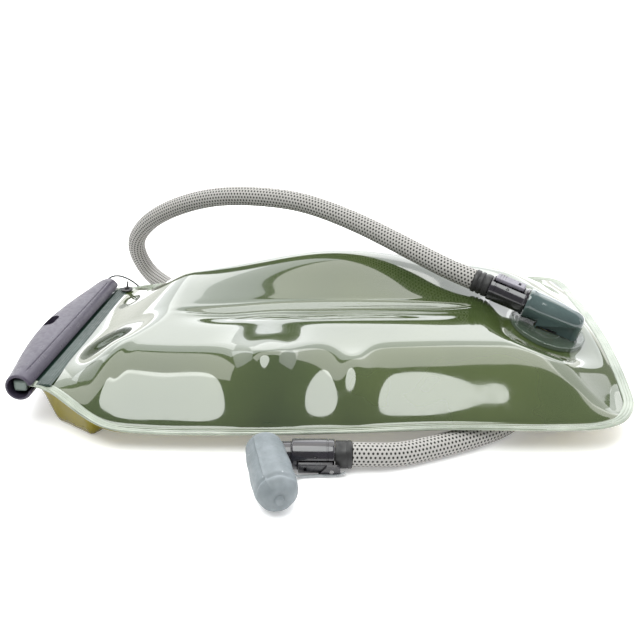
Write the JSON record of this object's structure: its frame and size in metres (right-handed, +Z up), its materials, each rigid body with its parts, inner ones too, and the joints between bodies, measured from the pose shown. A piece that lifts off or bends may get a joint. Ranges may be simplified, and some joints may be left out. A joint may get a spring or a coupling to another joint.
{
  "type": "hydration bladder",
  "caption": "Soft film drinking-water reservoir with a slide-on closure bar, quick-connect outlet port, sleeved hose and covered swivelling bite valve.",
  "frame": {"origin": "on the floor under the middle of the bag with its slider", "axes": "+X along the bag from the slider to the port end, +Y from the front edge to the rear edge, +Z up"},
  "size_m": [0.3488, 0.2885, 0.0927],
  "materials": {
    "film": "translucent glossy film",
    "bead": "moulded",
    "slider": "satin, moulded",
    "cord": "braided",
    "port": "moulded, slightly translucent",
    "valve_plastic": "moulded",
    "steel": "drawn",
    "seal": "smooth",
    "black_plastic": "moulded",
    "matte_black": "moulded",
    "lever": "moulded",
    "sleeve": "woven",
    "silicone": "soft",
    "grey_rubber": "matte"
  },
  "bodies": {
    "bag": {"upper_film": "film", "lower_film": "film", "closure_bead": "bead", "tether_cord": "cord", "tether_eyelet": "black_plastic", "port_flange": "port", "port_cowl": "port", "port_seal_ring": "seal", "port_spring": "steel", "drinking_hose": "sleeve", "valve_collar": "matte_black", "valve_connector": "black_plastic", "valve_lever_pin": "steel", "cover_strap": "grey_rubber"},
    "slider": {"closure_slider": "slider"},
    "poppet": {"port_poppet": "valve_plastic"},
    "plug": {"plug_body": "black_plastic", "plug_collar": "matte_black", "plug_o_ring": "seal", "plug_lever_pin": "steel"},
    "plug_lever": {"plug_release_lever": "lever"},
    "valve_lever": {"valve_release_lever": "black_plastic"},
    "swivel": {"valve_elbow": "black_plastic", "swivel_o_ring": "seal"},
    "mouthpiece": {"twist_sleeve": "valve_plastic", "bite_valve": "silicone"},
    "cover": {"valve_cover": "grey_rubber"}
  },
  "joints": [
    {"name": "slider_slide", "type": "slide", "parent": "bag", "child": "slider", "axis": [-0.0766, -0.9954, 0.0574], "range_m": [0, 0.16], "deforming": ["tether_cord"]},
    {"name": "plug_pull", "type": "slide", "parent": "bag", "child": "plug", "axis": [-0.8944, 0.3578, 0.2683], "range_m": [0, 0.02], "deforming": ["drinking_hose", "port_spring"]},
    {"name": "poppet_slide", "type": "slide", "parent": "bag", "child": "poppet", "axis": [-0.8944, 0.3578, 0.2683], "range_m": [0, 0.003], "deforming": ["port_spring"]},
    {"name": "plug_lever_press", "type": "hinge", "parent": "plug", "child": "plug_lever", "pos_m": [0.1117, 0.00104, 0.05643], "axis": [-0.3714, -0.9285, 0], "range_deg": [0, 5], "stiffness_Nm_per_rad": 0.02},
    {"name": "valve_lever_press", "type": "hinge", "parent": "bag", "child": "valve_lever", "pos_m": [-0.0019, -0.1101, 0.00665], "axis": [0, -0.3903, 0.9207], "range_deg": [0, 5], "stiffness_Nm_per_rad": 0.02},
    {"name": "valve_swivel", "type": "hinge", "parent": "bag", "child": "swivel", "pos_m": [-0.0207, -0.1055, 0.0086], "axis": [-1, 0, 0], "range_deg": [0, 45], "deforming": ["cover_strap"]},
    {"name": "mouthpiece_twist", "type": "hinge", "parent": "swivel", "child": "mouthpiece", "pos_m": [-0.0291, -0.102, 0.0113], "axis": [0.2381, -0.9713, 0], "range_deg": [0, 90]},
    {"name": "cover_pull", "type": "slide", "parent": "swivel", "child": "cover", "axis": [0.2381, -0.9713, 0], "range_m": [0, 0.05], "deforming": ["cover_strap"]}
  ],
  "couplings": [
    {"joint": "poppet_slide", "follows": "plug_pull", "ratio": 0.15}
  ]
}
